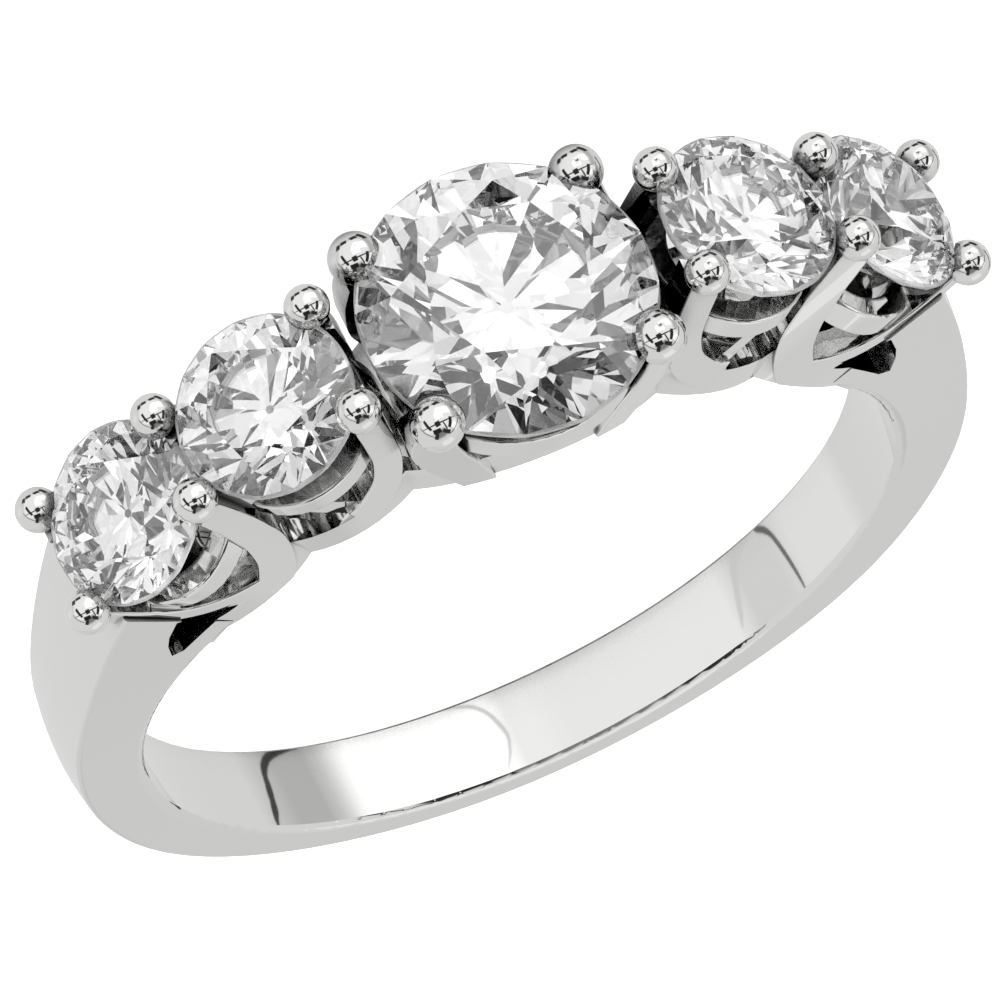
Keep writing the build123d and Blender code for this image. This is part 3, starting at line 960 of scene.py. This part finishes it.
@dataclass
class Softbox:
    """Square lamp with an even face, aimed at a point."""

    name: str
    azimuth: float
    elevation: float
    distance: float
    size: tuple[float, float]
    strength: float

    def build(self, target: Vector) -> bpy.types.Object:
        """Make the lamp.

        Args:
            target: Point that it faces.

        Returns:
            The lamp.
        """
        back = direction_to(self.azimuth, self.elevation)
        lamp = bpy.data.lights.new(self.name, "AREA")
        lamp.shape = "RECTANGLE"
        lamp.size, lamp.size_y = (s * MM for s in self.size)
        area = lamp.size * lamp.size_y
        # the face's own brightness is the power over pi and the area
        lamp.energy = self.strength * math.pi * area
        made = bpy.data.objects.new(self.name, lamp)
        bpy.context.scene.collection.objects.link(made)
        made.location = target + back * self.distance * MM
        made.rotation_mode = "QUATERNION"
        made.rotation_quaternion = (-back).to_track_quat("-Z", "Y")
        log.info("%s: strength %.2f", self.name, self.strength)
        return made


def set_light_paths(bounces: int) -> None:
    """Let light bounce often enough to leave a cut stone, and keep plain tones.

    Args:
        bounces: Number of bounces in all.
    """
    scene = bpy.context.scene
    scene.cycles.max_bounces = bounces
    # only the floor is dull, and it glows
    scene.cycles.diffuse_bounces = 0
    scene.cycles.glossy_bounces = bounces
    scene.cycles.transmission_bounces = bounces
    scene.view_settings.view_transform = "Standard"


# azimuth, elevation, half width, half height and value of each, each laid over those before it
TENT_PANELS = (
    # the stones' side, a little lighter than the rest
    TentPanel(0.0, 8.0, 78.0, 62.0, 0.93, soft=12.0),
    # behind the ring, a little darker: the faces of the band and the arms mirror it
    TentPanel(-168.0, 10.0, 40.0, 30.0, 0.68, soft=10.0),
    TentPanel(-178.0, 10.0, 6.5, 9.0, 0.60, soft=8.0),
    # white window low in front, with a soft left edge, and a smaller one above it
    TentPanel(-6.0, -22.0, 10.0, 12.0, 0.98, soft=9.0),
    TentPanel(-34.0, -20.0, 24.0, 14.0, 1.30, soft=6.0),
    TentPanel(-5.0, 0.0, 17.0, 11.0, 1.5, soft=3.0),
    TentPanel(-72.0, -16.0, 12.0, 26.0, 0.50, soft=14.0),
    TentPanel(76.0, -22.0, 9.0, 14.0, 0.72, soft=8.0),
    TentPanel(104.0, -24.0, 15.0, 12.0, 0.84, soft=8.0),
    # seams of the tent at both sides
    TentPanel(-86.0, 32.0, 2.0, 38.0, 0.04, soft=1.5),
    TentPanel(86.0, 32.0, 1.6, 38.0, 0.04, soft=1.5),
    # thin seam across the front, which the rounded inside edge of the band mirrors
    TentPanel(8.0, 28.0, 80.0, 3.0, 0.03, soft=1.5),
    TentPanel(-115.0, -5.0, 24.0, 3.0, 0.03, soft=1.5, roll=-32.0),
    # dark cloth overhead
    TentPanel(20.0, 72.0, 24.0, 17.0, 0.22, soft=14.0),
    # lens and stand, and what stands above them
    TentPanel(12.8, 29.0, 11.0, 11.0, 0.03, soft=2.0),
    TentPanel(38.0, 54.0, 17.0, 10.0, 0.02, soft=3.0, roll=-20.0),
    TentPanel(80.0, 64.0, 14.0, 7.0, 0.03, soft=3.0),
    TentPanel(-40.0, 66.0, 16.0, 8.0, 0.03, soft=3.0),
    TentPanel(56.0, 12.0, 6.0, 22.0, 0.03, soft=2.0),
    TentPanel(-50.0, 30.0, 7.0, 20.0, 0.03, soft=2.0),
    TentPanel(-24.0, 44.0, 3.0, 16.0, 0.03, soft=1.5, roll=30.0),
    TentPanel(-34.0, -60.0, 12.0, 7.0, 0.04, soft=3.0),
    TentPanel(30.0, -58.0, 10.0, 8.0, 0.04, soft=3.0),
    TentPanel(64.0, -50.0, 8.0, 10.0, 0.05, soft=3.0),
    TentPanel(-80.0, -52.0, 10.0, 12.0, 0.05, soft=3.0),
)

# each along a line in the picture that the inside of the band shows
STRIPS = (
    # dark line that winds down the band's left inside
    TentStrip("left_strip", pixels=(
        (299.0, 747.0), (284.5, 749.5), (270.0, 755.5), (265.5, 761.5), (264.0, 768.0),
        (264.5, 774.0), (266.5, 780.0), (269.0, 788.0), (271.0, 796.0), (274.0, 805.5),
        (275.0, 813.0), (278.0, 826.5)), widths=(0.20, 0.62), value=0.02, taper=0.35),
    # dark line on its right inside
    TentStrip("right_strip", pixels=(
        (753.5, 530.5), (761.0, 529.5), (768.5, 532.5), (775.0, 539.5), (784.0, 552.0),
        (791.5, 563.5), (799.0, 576.0), (806.5, 590.0)),
        widths=(0.30, 0.30), value=0.10, taper=0.35),
    # grey edges of the light window between them
    TentStrip("window_rim", pixels=(
        (439.5, 710.5), (468.0, 707.0), (485.0, 712.0), (499.0, 724.0), (508.0, 736.0),
        (510.0, 748.0), (510.0, 757.0), (508.0, 769.5)),
        widths=(0.14, 0.14), value=0.66, taper=0.5),
    TentStrip("soft_rim", pixels=(
        (747.5, 539.0), (740.0, 552.0), (737.0, 565.0), (737.0, 580.0), (738.0, 595.0),
        (740.0, 610.0), (743.0, 629.5)), widths=(0.30, 0.30), value=0.66, taper=0.5),
)

SOFTBOXES = (
    Softbox("high_box", azimuth=200.0, elevation=60.0, distance=260.0, size=(160.0, 120.0),
            strength=0.15),
    Softbox("left_box", azimuth=285.0, elevation=35.0, distance=240.0, size=(120.0, 90.0),
            strength=0.25),
)

LIGHT_BOUNCES = 20


def main() -> None:
    """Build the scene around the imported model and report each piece."""
    logging.basicConfig(level=logging.INFO, format="%(name)s: %(message)s")
    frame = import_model()
    axes = RingAxes.from_record(frame["record"])
    effects = SharedEffects()
    stones = Stones().dress(frame["nodes"], effects)
    Mount().dress(frame["nodes"][METAL_NODE], effects, stones)
    Floor().build()
    Tent(panels=TENT_PANELS).build()
    camera = PhotoCamera()
    for strip in STRIPS:
        strip.build(camera, axes)
    for box in SOFTBOXES:
        box.build(axes.centre)
    camera.build(axes)
    set_light_paths(LIGHT_BOUNCES)


if __name__ == "__main__":
    main()
